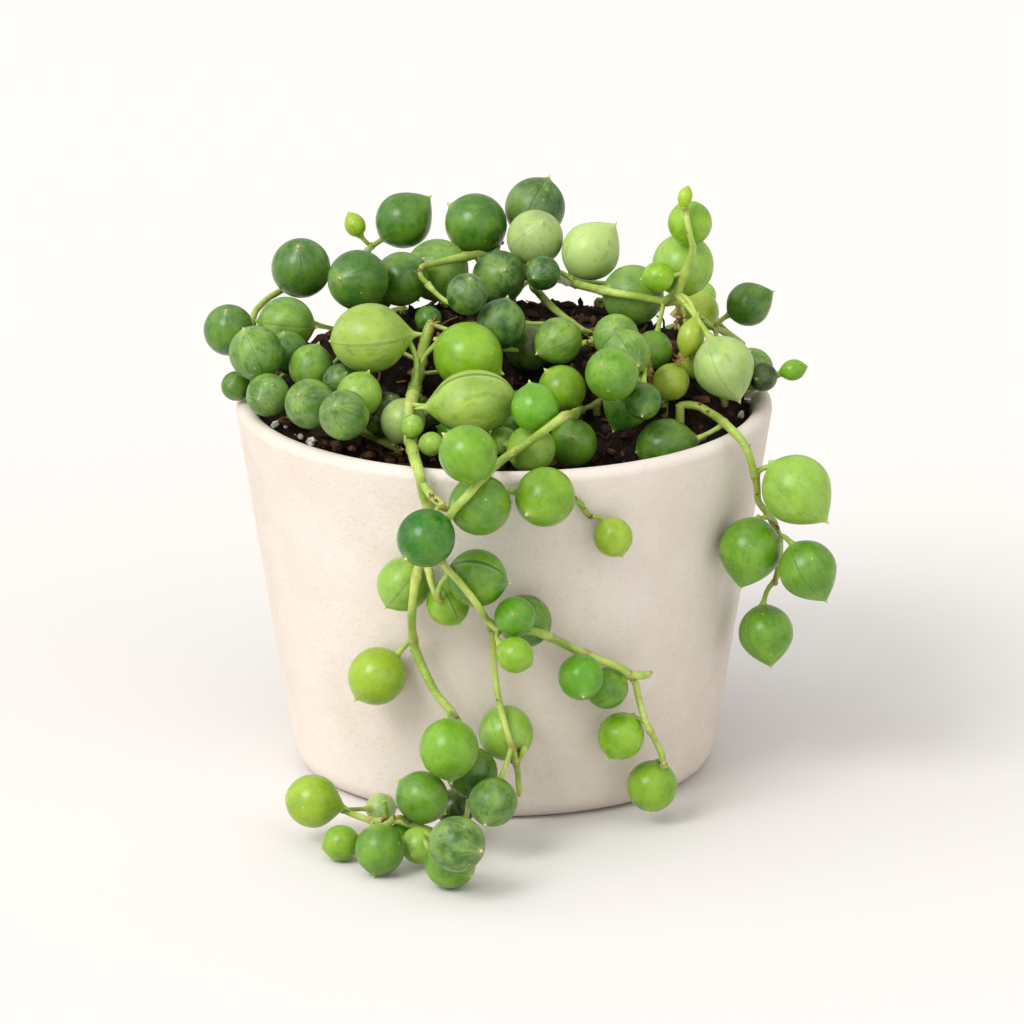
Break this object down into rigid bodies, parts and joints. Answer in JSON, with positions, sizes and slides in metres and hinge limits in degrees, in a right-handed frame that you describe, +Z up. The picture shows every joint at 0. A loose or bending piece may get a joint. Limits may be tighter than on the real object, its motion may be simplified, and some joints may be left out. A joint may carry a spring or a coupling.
{
  "type": "potted string of pearls",
  "caption": "Trailing succulent with bead-like round leaves on thin stems, planted in a tapered cream ceramic pot of dark soil, stems hanging over the rim",
  "frame": {"origin": "centre of the pot's flat base, on the surface that it stands on", "axes": "+Z up along the pot's axis, -Y towards the front of the plant, +X to the right seen from the front"},
  "size_m": [0.1, 0.127, 0.0947],
  "materials": {
    "pot": "matt, fine grained, cream",
    "soil": "rough, loose, dark bark and peat potting mix",
    "string_back_right": "smooth waxy green succulent leaves and pale green stems",
    "string_back_middle": "smooth waxy green succulent leaves and pale green stems",
    "string_top_right": "smooth waxy green succulent leaves and pale green stems",
    "string_back_left": "smooth waxy green succulent leaves and pale green stems",
    "string_left": "smooth waxy green succulent leaves and pale green stems",
    "string_left_front": "smooth waxy green succulent leaves and pale green stems",
    "string_front_left": "smooth waxy green succulent leaves and pale green stems",
    "string_front": "smooth waxy green succulent leaves and pale green stems",
    "string_end": "smooth waxy green succulent leaves and pale green stems",
    "string_front_rim": "smooth waxy green succulent leaves and pale green stems",
    "string_right": "smooth waxy green succulent leaves and pale green stems",
    "string_middle_right": "smooth waxy green succulent leaves and pale green stems",
    "string_right_edge": "smooth waxy green succulent leaves and pale green stems",
    "string_behind_left": "smooth waxy green succulent leaves and pale green stems",
    "string_behind": "smooth waxy green succulent leaves and pale green stems",
    "string_behind_right": "smooth waxy green succulent leaves and pale green stems"
  },
  "bodies": {
    "root": {"pot": "pot", "soil": "soil", "string_back_right": "string_back_right", "string_back_middle": "string_back_middle", "string_top_right": "string_top_right", "string_back_left": "string_back_left", "string_left": "string_left", "string_left_front": "string_left_front", "string_front_left": "string_front_left", "string_front": "string_front", "string_end": "string_end", "string_front_rim": "string_front_rim", "string_right": "string_right", "string_middle_right": "string_middle_right", "string_right_edge": "string_right_edge", "string_behind_left": "string_behind_left", "string_behind": "string_behind", "string_behind_right": "string_behind_right"}
  },
  "joints": []
}
